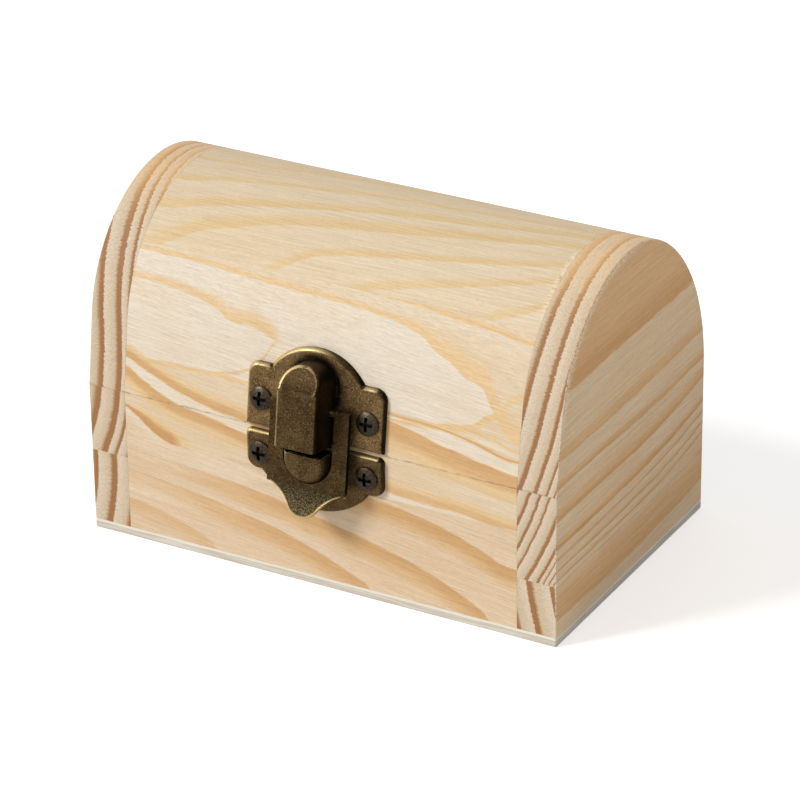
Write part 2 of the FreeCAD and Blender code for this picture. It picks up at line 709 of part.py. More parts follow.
def leaf(label, plate, tongue, knuckle, drills):
    """One hinge leaf: its plate, the tongue that reaches the pin and the knuckle, bored."""
    solid = join(label + "_solid", plate, tongue, knuckle)
    bore = cross_rod(label + "_bore", "places.bore_radius", "sizes.hinge_length",
                     "places.hinge_start", "places.hinge_y", "places.hinge_z")
    bored = cut(label + "_bored", solid, bore)
    return cut(label, bored, drills)


def leaf_drills(label, height):
    """The two screw holes through one leaf."""
    drill = rod(label + "_one", "places.hinge_hole", "sizes.leaf_thick", "places.hinge_screw_x",
                "places.hinge_seat_y", height, "90")
    return pair(label, drill, "places.hinge_x")


# The base leaf holds the two outer knuckles, with room between them for the lid's
base_plate = block("base_leaf_plate", "sizes.hinge_length", "sizes.leaf_thick", "places.leaf_plain",
                   "places.hinge_start", "places.half_depth", "places.hinge_z - sizes.leaf_width")
base_tongue = block("base_leaf_tongue", "sizes.hinge_length", "sizes.leaf_thick",
                    "places.knuckle_room", "places.hinge_start", "places.half_depth",
                    "places.hinge_z - places.knuckle_room")
base_barrel = cross_rod("base_leaf_barrel", "sizes.knuckle_radius", "sizes.hinge_length",
                        "places.hinge_start", "places.hinge_y", "places.hinge_z")
middle_room = block("middle_room", "places.middle_knuckle + sizes.hinge_play",
                    "4 * places.knuckle_room", "2 * places.knuckle_room",
                    "places.middle_start - sizes.hinge_play / 2", "places.half_depth",
                    "places.hinge_z - places.knuckle_room")
base_leaf = leaf("hinge_left_base_leaf", base_plate,
                 cut("base_leaf_tongues", base_tongue, middle_room),
                 cut("base_leaf_knuckles", base_barrel, middle_room),
                 leaf_drills("base_leaf_drills", "places.base_screw_z"))

# The lid leaf holds the middle knuckle
lid_plate = block("lid_leaf_plate", "sizes.hinge_length", "sizes.leaf_thick", "places.leaf_plain",
                  "places.hinge_start", "places.half_depth", "places.hinge_z + places.knuckle_room")
lid_tongue = block("lid_leaf_tongue", "places.middle_knuckle", "sizes.leaf_thick",
                   "places.knuckle_room", "places.middle_start", "places.half_depth",
                   "places.hinge_z")
lid_barrel = cross_rod("lid_leaf_barrel", "sizes.knuckle_radius", "places.middle_knuckle",
                       "places.middle_start", "places.hinge_y", "places.hinge_z")
lid_leaf = leaf("hinge_left_lid_leaf", lid_plate, lid_tongue, lid_barrel,
                leaf_drills("lid_leaf_drills", "places.lid_screw_z"))

pin = cross_rod("hinge_left_pin", "sizes.pin_radius", "sizes.hinge_length", "places.hinge_start",
                "places.hinge_y", "places.hinge_z")

nodes = [
    panel, front_lower, front_upper, back_board, *end_boards, catch_plate, catch_screws,
    base_leaf, mirror("hinge_right_base_leaf", base_leaf), pin, mirror("hinge_right_pin", pin),
    hinge_base_screws,
    lid_front_board, lid_back_board, lid_top_board, *lid_ends, latch_plate, latch_screws,
    lid_leaf, mirror("hinge_right_lid_leaf", lid_leaf), hinge_lid_screws,
    hasp,
]

doc.recompute()
for item in doc.Objects:
    if "Invalid" in item.State or "Error" in item.State:
        raise RuntimeError("%s failed: %s" % (item.Label, item.State))
for item in nodes:
    if item.Shape.isNull() or not item.Shape.isValid() or not item.Shape.Solids:
        raise RuntimeError("%s has no valid solid" % item.Label)

os.makedirs("parts", exist_ok=True)
for item in nodes:
    item.Shape.exportStep("parts/%s.step" % item.Label)
print("lid hinge axis at y %.3f z %.3f" % (read("hinge_y"), read("hinge_z")))
print("hasp axis at y %.3f z %.3f" % (read("pivot_y"), read("pivot_z")))
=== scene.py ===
# A small wooden money box of raw pine boards, with a plywood floor and a stamped bronze latch.
# Meshes, the stage and the camera are in metres, with small lengths written as n * MM. Seams,
# figures and finishes are in plain millimetres.
import json
import math

import bmesh
import bpy
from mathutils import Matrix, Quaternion, Vector
from mathutils.bvhtree import BVHTree

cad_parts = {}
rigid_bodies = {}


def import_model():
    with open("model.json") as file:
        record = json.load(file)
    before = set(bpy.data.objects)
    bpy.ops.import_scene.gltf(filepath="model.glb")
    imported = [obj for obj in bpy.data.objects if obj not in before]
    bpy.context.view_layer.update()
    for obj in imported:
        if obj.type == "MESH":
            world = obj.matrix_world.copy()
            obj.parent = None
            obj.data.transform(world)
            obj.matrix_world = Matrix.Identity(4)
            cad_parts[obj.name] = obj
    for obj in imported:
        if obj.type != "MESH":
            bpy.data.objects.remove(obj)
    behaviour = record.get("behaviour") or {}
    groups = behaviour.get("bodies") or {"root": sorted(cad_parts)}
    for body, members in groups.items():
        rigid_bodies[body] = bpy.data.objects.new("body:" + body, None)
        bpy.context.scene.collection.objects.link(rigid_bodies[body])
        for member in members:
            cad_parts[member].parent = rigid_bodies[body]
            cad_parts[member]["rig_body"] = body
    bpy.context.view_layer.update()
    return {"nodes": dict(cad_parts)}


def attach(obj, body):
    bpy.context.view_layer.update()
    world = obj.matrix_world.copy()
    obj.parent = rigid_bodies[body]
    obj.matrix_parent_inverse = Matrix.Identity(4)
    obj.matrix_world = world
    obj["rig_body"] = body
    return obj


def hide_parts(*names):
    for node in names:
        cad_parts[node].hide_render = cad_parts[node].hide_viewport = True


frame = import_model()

# Base panel
# The floor of the box is a thin sheet of plywood, glued under the frame of boards and sanded
# flush with them. Only its edge shows, with a pale face ply above a greyer core.
MM = 0.001
NEAR = 0.001 * MM
X, Y, Z = range(3)
SHARP_ANGLE = math.radians(30)
FLAT_ANGLE = math.radians(0.5)
PANEL_ARRIS = 0.3 * MM
SEAM_ARRIS = 0.07 * MM
PLYWOOD = {"core": (0.50, 0.44, 0.36, 1), "pale core": (0.66, 0.60, 0.50, 1),
           "streak": (0.74, 0.69, 0.60, 1), "face ply": (0.82, 0.78, 0.68, 1)}
PLY_GRAIN = (9, 9, 0.35)
PLY_CLOUD = (22, 22, 3)
FACE_PLY_START = 1.95
FACE_PLY_FULL = 2.1
nodes = frame["nodes"]


def add_node(tree, kind, sockets=None, **settings):
    """Add a shader node, set it up and feed its sockets with values or links."""
    item = tree.nodes.new(kind)
    for name, value in settings.items():
        setattr(item, name, value)
    for socket, value in (sockets or {}).items():
        if isinstance(value, bpy.types.NodeSocket):
            tree.links.new(value, item.inputs[socket])
        else:
            item.inputs[socket].default_value = value
    return item


def calc(tree, operation, *values):
    """A math node's result."""
    return add_node(tree, "ShaderNodeMath", dict(enumerate(values)), operation=operation).outputs[0]


def vector_calc(tree, operation, *values):
    """A vector math node's results: the vector first, then the number."""
    return add_node(tree, "ShaderNodeVectorMath", dict(enumerate(values)), operation=operation).outputs


def scaled(tree, vector, factors):
    """A vector with each part multiplied by its own factor."""
    return vector_calc(tree, "MULTIPLY", vector, factors)[0]


def components(tree, vector):
    """A vector's X, Y and Z."""
    return add_node(tree, "ShaderNodeSeparateXYZ", {0: vector}).outputs


def ease(tree, value, low, high, to_low=0.0, to_high=1.0):
    """A value eased from one range to another."""
    sockets = {"Value": value, 1: low, 2: high, 3: to_low, 4: to_high}
    return add_node(tree, "ShaderNodeMapRange", sockets, interpolation_type="SMOOTHSTEP").outputs[0]


def blend(tree, factor, first, second):
    """Two colours mixed."""
    return add_node(tree, "ShaderNodeMix", {0: factor, 6: first, 7: second}, data_type="RGBA").outputs[2]


def streaks(tree, vector, lengths, detail=2.0):
    """Noise from 0 to 1, drawn out to the given lengths in the vector's units."""
    stretched = scaled(tree, vector, [1 / length for length in lengths])
    noise = add_node(tree, "ShaderNodeTexNoise", {"Vector": stretched, "Scale": 1.0, "Detail": detail})
    return noise.outputs[0]


def millimetres(tree):
    """The place on the object, in millimetres."""
    return scaled(tree, add_node(tree, "ShaderNodeTexCoord").outputs["Object"], (1 / MM,) * 3)


def add_bump(tree, shader, height, strength, depth):
    """Give a shader fine relief from a height, with a depth in metres."""
    bump = add_node(tree, "ShaderNodeBump", {"Height": height, "Strength": strength, "Distance": depth})
    tree.links.new(bump.outputs[0], shader.inputs["Normal"])


def new_material(name):
    """A material with only a Principled shader and its output."""
    material = bpy.data.materials.new(name)
    material.use_nodes = True
    tree = material.node_tree
    tree.nodes.clear()
    shader = tree.nodes.new("ShaderNodeBsdfPrincipled")
    output = tree.nodes.new("ShaderNodeOutputMaterial")
    tree.links.new(shader.outputs[0], output.inputs[0])
    return material, tree, shader


def sharp_edges(bm):
    """The edges between faces that meet at a clear angle."""
    return [edge for edge in bm.edges if edge.is_manifold and edge.calc_face_angle() > SHARP_ANGLE]


def soft_copy(node, arris, seams=(), shortest=0.0, settle=None):
    """A copy of a CAD node with its sharp edges rounded over, less so along its seams.

    A seam is given as an axis number and a place in millimetres. Edges no longer than shortest stay
    sharp. The rounded strips carry the face attribute "arris", which the finishes read. settle is
    the height of an underside and the height that it is brought down to.
    """
    bm = bmesh.new()
    bm.from_mesh(nodes[node].data)
    mark = bm.faces.layers.float.new("arris")
    bmesh.ops.remove_doubles(bm, verts=bm.verts, dist=NEAR)
    bmesh.ops.dissolve_limit(bm, angle_limit=FLAT_ANGLE, verts=bm.verts, edges=bm.edges)
    if settle:
        underside, settled = settle
        for point in bm.verts:
            if abs(point.co.z - underside) < NEAR:
                point.co.z = settled

    def on_seam(edge):
        return any(abs(edge.verts[0].co[axis] - at * MM) < NEAR
                   and abs(edge.verts[1].co[axis] - at * MM) < NEAR for axis, at in seams)

    def round_over(edges, offset):
        strips = bmesh.ops.bevel(bm, geom=edges, offset=offset, segments=3, profile=0.5, material=-1,
                                 affect="EDGES", clamp_overlap=True)
        for face in strips["faces"]:
            face[mark] = min(1.0, offset / arris)

    round_over([edge for edge in sharp_edges(bm) if not on_seam(edge) and edge.calc_length() > shortest],
               arris)
    if seams:
        round_over([edge for edge in sharp_edges(bm) if on_seam(edge)], SEAM_ARRIS)
    return bm


def stand_in(node, bm, material):
    """Turn a soft copy into a piece that stands for its CAD node and moves with its body."""
    for face in bm.faces:
        face.smooth = True
    mesh = bpy.data.meshes.new(node + "_shape")
    bm.to_mesh(mesh)
    bm.free()
    mesh.set_sharp_from_angle(angle=SHARP_ANGLE)
    mesh.materials.append(material)
    piece = bpy.data.objects.new(node + "_piece", mesh)
    bpy.context.scene.collection.objects.link(piece)
    even = piece.modifiers.new("even_shading", "WEIGHTED_NORMAL")
    even.keep_sharp = True
    even.weight = 100
    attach(piece, nodes[node]["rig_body"])
    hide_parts(node)
    return piece


def plywood_material():
    """Pale grey-beige plywood: a light face ply over a darker core with fine end-grain streaks."""
    material, tree, shader = new_material("sanded_plywood")
    place = millimetres(tree)
    grain = streaks(tree, place, PLY_GRAIN, 3.0)
    cloud = streaks(tree, place, PLY_CLOUD)
    core = blend(tree, cloud, PLYWOOD["core"], PLYWOOD["pale core"])
    core = blend(tree, ease(tree, grain, 0.35, 0.7), core, PLYWOOD["streak"])
    height = calc(tree, "MULTIPLY_ADD", grain, 0.4, components(tree, place)[Z])
    face_ply = ease(tree, height, FACE_PLY_START, FACE_PLY_FULL)
    tree.links.new(blend(tree, face_ply, core, PLYWOOD["face ply"]), shader.inputs["Base Color"])
    shader.inputs["Roughness"].default_value = 0.75
    shader.inputs["Specular IOR Level"].default_value = 0.25
    add_bump(tree, shader, grain, 0.3, 0.2 * MM)
    return material


stand_in("base_panel", soft_copy("base_panel", PANEL_ARRIS), plywood_material())

# Base ends
# Each end of the base is glued up from two strips of pine whose grain runs from front to back,
# so their front faces are end grain. The rings of one strip do not run on into the next.
BOARD_ARRIS = 0.3 * MM
BOX_END = 65.0
END_JOINT = 54.5
PANEL_TOP = 2.5
LEFT_SEAM = 22.0
RIGHT_SEAM = 16.3
BASE_TOP = 40.0
SHUT_GAP = 0.05
END_JOINTS = [(X, -END_JOINT), (X, END_JOINT)]
PARTING = [(Z, BASE_TOP), (Z, BASE_TOP + SHUT_GAP)]
END_SEAMS = END_JOINTS + [(Z, PANEL_TOP), (Z, LEFT_SEAM), (Z, RIGHT_SEAM)] + PARTING
SAW_TEETH = (8, 40, 0.2)
TEETH_START = BOX_END - 0.1
TEETH_FULL = BOX_END - 0.8
SAW_BITES = (1.8, 1.8, 0.5)
SAW_CUT = BASE_TOP + 0.15
SEED_STEP = (37.0, 11.0, 5.0)
WARM = {"Pale": (0.79, 0.58, 0.37, 1), "Chalk": (0.80, 0.61, 0.40, 1),
        "Honey": (0.76, 0.48, 0.24, 1), "Band": (0.66, 0.36, 0.14, 1)}
END_GRAIN = {"Pale": (0.68, 0.535, 0.37, 1), "Chalk": (0.76, 0.635, 0.48, 1),
             "Band": (0.39, 0.185, 0.07, 1)}
RESIN = (0.30, 0.18, 0.09, 1)
FLUFF = (0.92, 0.79, 0.60, 1)
WARM_SHADE = (0.75, 1.0, 1.35)
# Lengths of the features of the wood, along the grain and twice across it
WOOD = {"bow": (55, 16, 16), "rag": (5, 0.6, 0.6), "cloud": (45, 14, 14), "pore": (3, 0.22, 0.22),
        "fibre": (14, 0.22, 0.22), "thread": (9, 0.12, 0.12), "fleck": (1.2, 0.3, 0.3),
        "canal": (3.0, 0.9, 0.9), "fuzz": (1.4, 0.4, 0.4)}


def new_group(name, inputs, outputs):
    """An empty node group, with its inputs and outputs given as labels and socket types."""
    tree = bpy.data.node_groups.new(name, "ShaderNodeTree")
    for label, kind in inputs.items():
        tree.interface.new_socket(label, in_out="INPUT", socket_type="NodeSocket" + kind)
    for label, kind in outputs.items():
        tree.interface.new_socket(label, in_out="OUTPUT", socket_type="NodeSocket" + kind)
    return tree, tree.nodes.new("NodeGroupInput").outputs, tree.nodes.new("NodeGroupOutput").inputs


def product(tree, first, *others):
    """Values multiplied together."""
    for other in others:
        first = calc(tree, "MULTIPLY", first, other)
    return first


def centred(tree, noise):
    """Noise from 0 to 1, moved to lie about 0."""
    return calc(tree, "SUBTRACT", noise, 0.5)


def off(tree, value, at):
    """How far a value lies from a place, on either side."""
    return calc(tree, "ABSOLUTE", calc(tree, "SUBTRACT", value, at))


def dimmed(tree, colour, factor):
    """A colour multiplied by one number."""
    return add_node(tree, "ShaderNodeVectorMath", {0: colour, "Scale": factor},
                    operation="SCALE").outputs[0]


def joined(tree, *parts):
    """A vector from its parts."""
    return add_node(tree, "ShaderNodeCombineXYZ", dict(enumerate(parts))).outputs[0]


def attribute(tree, name):
    """A number that the mesh carries."""
    return add_node(tree, "ShaderNodeAttribute", attribute_name=name).outputs["Fac"]


def surface_normal(tree):
    """The direction that the surface faces."""
    return add_node(tree, "ShaderNodeTexCoord").outputs["Normal"]


def pine_wander():
    """How far the growth rings stray, in millimetres: slowly along the board, raggedly by the fibre."""
    tree, given, result = new_group(
        "pine_wander", {"Place": "Vector", "Waviness": "Float", "Raggedness": "Float"},
        {"Offset": "Float"})
    slow = centred(tree, streaks(tree, given["Place"], WOOD["bow"], 1.0))
    ragged = centred(tree, streaks(tree, given["Place"], WOOD["rag"], 3.0))
    offset = product(tree, ragged, given["Raggedness"])
    offset = calc(tree, "MULTIPLY_ADD", slow, given["Waviness"], offset)
    tree.links.new(offset, result["Offset"])
    return tree


def pine_seasons():
    """The early and late wood of each year, from a count of years."""
    tree, given, result = new_group(
        "pine_seasons", {"Years": "Float", "Onset": "Float"}, {"Early": "Float", "Late": "Float"})
    season = calc(tree, "FRACT", given["Years"])
    year = add_node(tree, "ShaderNodeTexWhiteNoise", {"W": calc(tree, "FLOOR", given["Years"])},
                    noise_dimensions="1D").outputs[0]
    late = calc(tree, "POWER", ease(tree, season, given["Onset"], 0.97), 1.3)
    late = product(tree, late, ease(tree, season, 0.975, 1.0, 1.0, 0.0),
                   ease(tree, year, 0.0, 1.0, 0.7, 1.0))
    tree.links.new(late, result["Late"])
    tree.links.new(ease(tree, season, 0.05, 0.6, 1.0, 0.0), result["Early"])
    return tree


def pine_tones():
    """The colours of pine from its early and late wood, with fibres, canals and frayed arrises."""
    tree, given, result = new_group(
        "pine_tones",
        {"Place": "Vector", "Early": "Float", "Late": "Float", "End Grain": "Float", "Arris": "Float",
         "Pale": "Color", "Chalk": "Color", "Honey": "Color", "Band": "Color"},
        {"Color": "Color", "Roughness": "Float", "Height": "Float"})
    place, early, late = given["Place"], given["Early"], given["Late"]
    cloud = streaks(tree, place, WOOD["cloud"])
    face = blend(tree, early, given["Pale"], given["Chalk"])
    face = blend(tree, ease(tree, cloud, 0.4, 0.7, 0.0, 0.25), face, given["Honey"])
    face = blend(tree, ease(tree, late, 0.0, 0.5), face, given["Honey"])
    face = blend(tree, ease(tree, late, 0.5, 1.0), face, given["Band"])
    end = blend(tree, early, END_GRAIN["Pale"], END_GRAIN["Chalk"])
    end = blend(tree, ease(tree, late, 0.05, 0.6), end, END_GRAIN["Band"])
    pores = streaks(tree, place, WOOD["pore"])
    end = dimmed(tree, end, ease(tree, pores, 0.3, 0.7, 0.82, 1.1))
    colour = blend(tree, given["End Grain"], face, end)

    fibre = streaks(tree, place, WOOD["fibre"], 3.0)
    thread = streaks(tree, place, WOOD["thread"], 1.0)
    fleck = streaks(tree, place, WOOD["fleck"])
    shade = product(tree, ease(tree, fibre, 0.25, 0.75, 0.87, 1.08),
                    ease(tree, thread, 0.25, 0.42, 0.84, 1.0), ease(tree, fleck, 0.25, 0.75, 0.95, 1.05))
    loss = scaled(tree, calc(tree, "SUBTRACT", 1.0, shade), WARM_SHADE)
    colour = vector_calc(tree, "MULTIPLY", colour, vector_calc(tree, "SUBTRACT", (1, 1, 1), loss)[0])[0]
    stretched = scaled(tree, place, [1 / length for length in WOOD["canal"]])
    canals = add_node(tree, "ShaderNodeTexVoronoi", {"Vector": stretched, "Scale": 1.0}).outputs
    chosen = ease(tree, components(tree, canals["Color"])[0], 0.86, 0.88)
    canal = product(tree, ease(tree, canals["Distance"], 0.05, 0.15, 1.0, 0.0), chosen)
    colour = blend(tree, product(tree, canal, 0.4), colour, RESIN)
    fuzz = streaks(tree, place, WOOD["fuzz"], 3.0)
    frayed = product(tree, given["Arris"], ease(tree, fuzz, 0.35, 0.6))
    colour = blend(tree, product(tree, frayed, 0.7), colour, FLUFF)
    tree.links.new(colour, result["Color"])
    tree.links.new(ease(tree, late, 0.0, 1.0, 0.72, 0.55), result["Roughness"])
    tree.links.new(calc(tree, "MULTIPLY_ADD", frayed, 1.5, fibre), result["Height"])
    return tree


PINE_WANDER = pine_wander()
PINE_SEASONS = pine_seasons()
PINE_TONES = pine_tones()


def add_group(tree, group, **sockets):
    """Add a node group and feed its sockets, whose names are given with underscores for spaces."""
    item = add_node(tree, "ShaderNodeGroup", node_tree=group)
    for name, value in sockets.items():
        socket = item.inputs[name.replace("_", " ")]
        if isinstance(value, bpy.types.NodeSocket):
            tree.links.new(value, socket)
        else:
            socket.default_value = value
    return item.outputs


def curve_node(tree, value, corners, handles):
    """A float curve through corners given from 0 to 1."""
    item = add_node(tree, "ShaderNodeFloatCurve", {"Value": value})
    curve = item.mapping.curves[0]
    curve.points[0].location = corners[0]
    curve.points[1].location = corners[-1]
    for corner in corners[1:-1]:
        curve.points.new(*corner)
    for corner in curve.points:
        corner.handle_type = handles
    item.mapping.update()
    return item.outputs[0]


def ring_figure(across, up, rings, waviness, raggedness, onset=0.35, bend=0.0, tear=0.0):
    """The figure of a board cut from round growth rings.

    across and up give the two distances from the pith as factors of X, Y and Z and a constant, in
    millimetres, and rings lists the distances at which the years end. bend raises the rings by the
    square of Y behind the middle. tear is how far the saw tore the end grain, short of its corners.
    """
    first, span, last = rings[0], rings[-1] - rings[0], len(rings) - 1
    corners = [((ring - first) / span, year / last) for year, ring in enumerate(rings)]

    def draw(tree, point, place):
        def distance(factors):
            return calc(tree, "ADD", vector_calc(tree, "DOT_PRODUCT", point, factors[:3])[1], factors[3])

        wander = add_group(tree, PINE_WANDER, Place=place, Waviness=waviness, Raggedness=raggedness)
        parts = components(tree, point)
        behind = calc(tree, "MAXIMUM", parts[Y], 0.0)
        rise = calc(tree, "MULTIPLY_ADD", product(tree, behind, behind), -bend, distance(up))
        radius = vector_calc(tree, "LENGTH", joined(tree, distance(across), rise))[1]
        radius = calc(tree, "ADD", radius, wander[0])
        if tear:
            inside = ease(tree, calc(tree, "ABSOLUTE", parts[X]), TEETH_START, TEETH_FULL)
            teeth = product(tree, centred(tree, streaks(tree, point, SAW_TEETH)), inside)
            radius = calc(tree, "MULTIPLY_ADD", teeth, tear, radius)
        share = calc(tree, "DIVIDE", calc(tree, "SUBTRACT", radius, first), span)
        years = product(tree, curve_node(tree, share, corners, "VECTOR"), last)
        seasons = add_group(tree, PINE_SEASONS, Years=years, Onset=onset)
        return seasons["Early"], seasons["Late"]

    return draw


def pine_material(name, grain, seed, figure, tones, slope=0.0, damage=None):
    """Raw pine for one board, with a figure of growth rings.

    Its fibres run along the grain axis and fall in Z by the slope. Along the cut between the base and
    the lid, dark marks stand for small chips of the saw and, as painted shade, for the shut gap. damage
    adds fluff and gouged pits, which are darkened as painted shade, where the saw left it rough.
    """
    material, tree, shader = new_material(name)
    point = millimetres(tree)
    parts = components(tree, point)
    normal = components(tree, surface_normal(tree))
    order = [parts[grain]] + [part for axis, part in enumerate(parts) if axis != grain]
    order[2] = calc(tree, "MULTIPLY_ADD", parts[grain], slope, order[2])
    place = vector_calc(tree, "ADD", joined(tree, *order), [seed * step for step in SEED_STEP])[0]
    early, late = figure(tree, point, place)
    end_grain = ease(tree, calc(tree, "ABSOLUTE", normal[grain]), 0.2, 0.8)
    arris = attribute(tree, "arris")
    if damage:
        # Gouged pits are darkened with late wood colour, as painted shade.
        fluff, gouge_shade = damage(tree, point, place)
        arris = calc(tree, "MAXIMUM", arris, fluff)
        late = calc(tree, "MAXIMUM", late, gouge_shade)
    finish = add_group(tree, PINE_TONES, Place=place, Early=early, Late=late, End_Grain=end_grain,
                       Arris=arris, **tones)
    # Dark marks along the cut: small chips of the saw, and painted shade of the shut gap.
    bite_and_gap_shade = product(tree, ease(tree, off(tree, parts[Z], SAW_CUT), 0.4, 0.1),
                    ease(tree, streaks(tree, point, SAW_BITES, 3.0), 0.48, 0.62, 0.15, 1.0),
                    ease(tree, calc(tree, "ABSOLUTE", normal[Y]), 0.3, 0.7))
    colour = blend(tree, product(tree, bite_and_gap_shade, 0.6), finish["Color"], RESIN)
    tree.links.new(colour, shader.inputs["Base Color"])
    tree.links.new(finish["Roughness"], shader.inputs["Roughness"])
    shader.inputs["Specular IOR Level"].default_value = 0.25
    add_bump(tree, shader, finish["Height"], 0.35, 0.12 * MM)
    return material


left_upper_pine = pine_material("left_upper_pine", Y, 1, ring_figure(
    across=(1, 0, 0, 113.5), up=(0, 0.01, 1, -45), rings=[40, 46, 52.75, 58, 60.6, 64, 68],
    waviness=0.8, raggedness=0.35, onset=0.4, tear=1.4), WARM)
left_lower_pine = pine_material("left_lower_pine", Y, 2, ring_figure(
    across=(1, 0, 0, 135.5), up=(0, 0.02, 1, -20), rings=[62, 67, 72.4, 78, 84, 90],
    waviness=0.8, raggedness=0.35, onset=0.4, tear=1.4), WARM)
right_lower_pine = pine_material("right_lower_pine", Y, 3, ring_figure(
    across=(1, 0, 0, -158), up=(0, 0.02, 1, -28), rings=[85, 90, 95.6, 101.8, 107, 113],
    waviness=0.6, raggedness=0.35, onset=0.5, bend=0.002, tear=1.2), WARM)
right_upper_pine = pine_material("right_upper_pine", Y, 4, ring_figure(
    across=(1, 0, 0, 50.9), up=(0, -0.01, 1, -75.9),
    rings=[104, 108, 111.8, 114.9, 117.5, 119.8, 123.4, 126, 127.2, 128.5, 129.6, 132, 136],
    waviness=0.6, raggedness=0.3, onset=0.5, bend=0.002, tear=1.2), WARM)
END_STRIPS = {
    "left_end_lower_strip": left_lower_pine, "left_end_upper_strip": left_upper_pine,
    "right_end_lower_strip": right_lower_pine, "right_end_upper_strip": right_upper_pine,
}
for node, pine in END_STRIPS.items():
    stand_in(node, soft_copy(node, BOARD_ARRIS, END_SEAMS), pine)

# Base front and back
# Boards glued between the ends, with the grain along the box. The front is two strips, and the
# upper one was one board with the lid's front before the box was sawn open, so its figure runs
# on across the cut.
FRONT_SEAM = 28.8
WALL_SEAMS = END_JOINTS + [(Z, PANEL_TOP), (Z, FRONT_SEAM)] + PARTING
LINE_EDGE = 0.55
LINE_WAVINESS = 0.6
PALER_WIDTH = 4.0
PLANED = {"Pale": (0.78, 0.62, 0.43, 1), "Chalk": (0.82, 0.72, 0.585, 1),
          "Honey": (0.80, 0.57, 0.31, 1), "Band": (0.62, 0.33, 0.125, 1)}


def drawn_figure(axis, low, high, tongues=(), bands=(), downward=False, raggedness=0.9):
    """The figure of a flat-sawn board, drawn as lines along X at heights on an axis, in millimetres.

    The heights lie between low and high. A tongue lists its upper and its lower line, with early
    wood between them, the widths over which late wood fades away above and below, and its strength.
    A band lists the line where its late wood ends, with early wood past it, the width over which it
    fades away above the line, or below it if downward is set, and its strength. A width or a
    strength is one number, or (left, right, from X, to X).
    """
    def draw(tree, point, place):
        wander = add_group(tree, PINE_WANDER, Place=place, Waviness=LINE_WAVINESS, Raggedness=raggedness)
        parts = components(tree, point)
        height = calc(tree, "ADD", parts[axis], wander[0])
        share = calc(tree, "MULTIPLY_ADD", parts[X], 0.5 / BOX_END, 0.5)

        def line(corners):
            ends = [(-BOX_END, corners[0][1])] + corners + [(BOX_END, corners[-1][1])]
            shares = [((x / BOX_END + 1) / 2, (at - low) / (high - low)) for x, at in ends]
            found = curve_node(tree, share, shares, "AUTO_CLAMPED")
            return calc(tree, "MULTIPLY_ADD", found, high - low, low)

        def changing(value):
            if isinstance(value, tuple):
                left, right, start, end = value
                return ease(tree, parts[X], start, end, left, right)
            return value

        def fading(past, width, strength):
            begun = ease(tree, past, -LINE_EDGE / 2, LINE_EDGE / 2)
            left = ease(tree, calc(tree, "DIVIDE", past, changing(width)), 0.25, 1.0, 1.0, 0.0)
            return product(tree, begun, left, changing(strength))

        early, late = 0.0, 0.0
        for upper, lower, above, below, strength in tongues:
            over = calc(tree, "SUBTRACT", height, line(upper))
            under = calc(tree, "SUBTRACT", line(lower), height)
            outside = ease(tree, calc(tree, "MAXIMUM", over, under), -LINE_EDGE / 2, LINE_EDGE / 2)
            early = calc(tree, "MAXIMUM", early, calc(tree, "SUBTRACT", 1.0, outside))
            late = calc(tree, "MAXIMUM", late, fading(over, above, strength))
            late = calc(tree, "MAXIMUM", late, fading(under, below, strength))
        for corners, width, strength in bands:
            past = calc(tree, "SUBTRACT", height, line(corners))
            before = product(tree, past, -1.0)
            if downward:
                past, before = before, past
            late = calc(tree, "MAXIMUM", late, fading(past, width, strength))
            paler = product(tree, fading(before, PALER_WIDTH, strength), 0.7)
            early = calc(tree, "MAXIMUM", early, paler)
        return early, late

    return draw


FRONT_TONGUES = [
    ([(-55, 69.2), (-45, 69), (-35, 67.6), (-28.8, 65.9), (-26.9, 64.6), (-18.8, 63.9), (-15.4, 63),
      (-12.9, 61.9), (-2.5, 58.3)],
     [(-55, 50), (-40, 50.5), (-30, 50.8), (-23.8, 52.1), (-18.5, 54.8), (-15.2, 58.3), (-12.9, 61.7),
      (-2.5, 64.9)], (2.6, 6, -45, -15), 1.5, (0.42, 0.0, -15, -8)),
    ([(-55, 75.2), (-40, 75.1), (-17.5, 74.1), (10, 73.1), (20, 72), (25, 70.8), (30, 68.1), (35, 66.1),
      (38.8, 63.9), (43.5, 62.4), (45.5, 59.7), (47.1, 57.1), (55, 50.8)],
     [(-55, 50.1), (-12.5, 50.5), (22.5, 50.1), (30, 50.8), (35, 51.7), (41.9, 53.3), (45, 56),
      (47.1, 57), (55, 63.1)], (1.6, 8, 14, 45), (1.5, 3, 20, 40), 0.5),
    ([(-55, 49.1), (-50, 47.4), (-40, 43.8), (-35, 42.4), (-30, 41.3), (-20, 40.1), (-12.5, 38.5),
      (-2.5, 35.4), (17.5, 31), (30, 29.9), (40, 29.6), (54, 28)],
     [(-55, 47.1), (-50, 44.7), (-45, 42.4), (-40, 40.6), (-30, 38.9), (-20, 36.8), (-2.5, 32.2),
      (10, 28), (54, 20)], 5.0, 6.5, (0.8, 0.72, -30, 20)),
    ([(5, 51.1), (20, 50.5), (30, 50.1), (40, 48.9), (54, 46.3)],
     [(5, 51.8), (15, 50.3), (19.4, 49.4), (27.5, 47.9), (35, 46.1), (45, 44.4), (54, 43.2)],
     1.5, 10.0, (0.0, 0.8, 8, 20)),
]
FRONT_BANDS = [
    ([(-15, 78.1), (-2.5, 77.5), (15, 76.5), (25, 76), (35, 75.1), (45, 74.4), (54, 73.4)], 1.5, 0.65),
    ([(35, 51.6), (40, 51.2), (47.5, 50.3), (54, 48.7)], 1.2, (0.0, 0.6, 30, 42)),
    ([(-55, 36.4), (-51.4, 34.6), (-48.2, 32.2), (-45.1, 30.2), (-42, 29), (-36, 27.5), (54, 19)],
     (1.5, 6.5, -55, -46), (0.95, 0.0, -42, -33)),
    ([(27.5, 39), (31.2, 38.6), (42.5, 37), (54, 35.5)], 1.5, (0.0, 0.35, 22, 34)),
]
